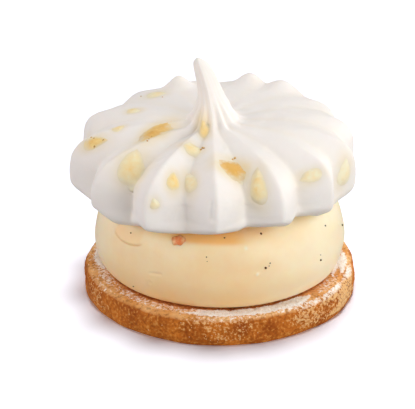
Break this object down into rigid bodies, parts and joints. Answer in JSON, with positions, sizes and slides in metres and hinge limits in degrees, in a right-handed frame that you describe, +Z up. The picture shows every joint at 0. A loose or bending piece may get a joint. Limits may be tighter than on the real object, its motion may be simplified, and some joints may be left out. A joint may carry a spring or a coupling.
{
  "type": "pavlova",
  "caption": "Single-serving pavlova: a ribbed, piped meringue with almond flakes on a round vanilla cream puck and a shortbread biscuit, for serving as a dessert.",
  "frame": {"origin": "middle of the biscuit's flat underside, on the surface that the dessert stands on", "axes": "+Z up through the biscuit and the cream, -Y towards the front that the picture shows, +X to its right"},
  "size_m": [0.0798, 0.0825, 0.0688],
  "materials": {
    "shortbread": "baked shortbread, rough and crumbly, golden brown",
    "vanilla_cream": "set vanilla cream, smooth and satin, with dark vanilla seeds",
    "baked_meringue": "piped and baked meringue, off-white, with a dry satin skin",
    "almond": "toasted flaked almond, pale yellow with browned edges",
    "icing_sugar": "fine white sugar powder and grains",
    "vanilla_seed": "dark vanilla seeds in the cream",
    "fruit_jam": "a dab of red fruit jam, glossy and moist"
  },
  "bodies": {
    "root": {"biscuit": "shortbread", "cream": "vanilla_cream", "meringue": "baked_meringue"}
  },
  "joints": []
}
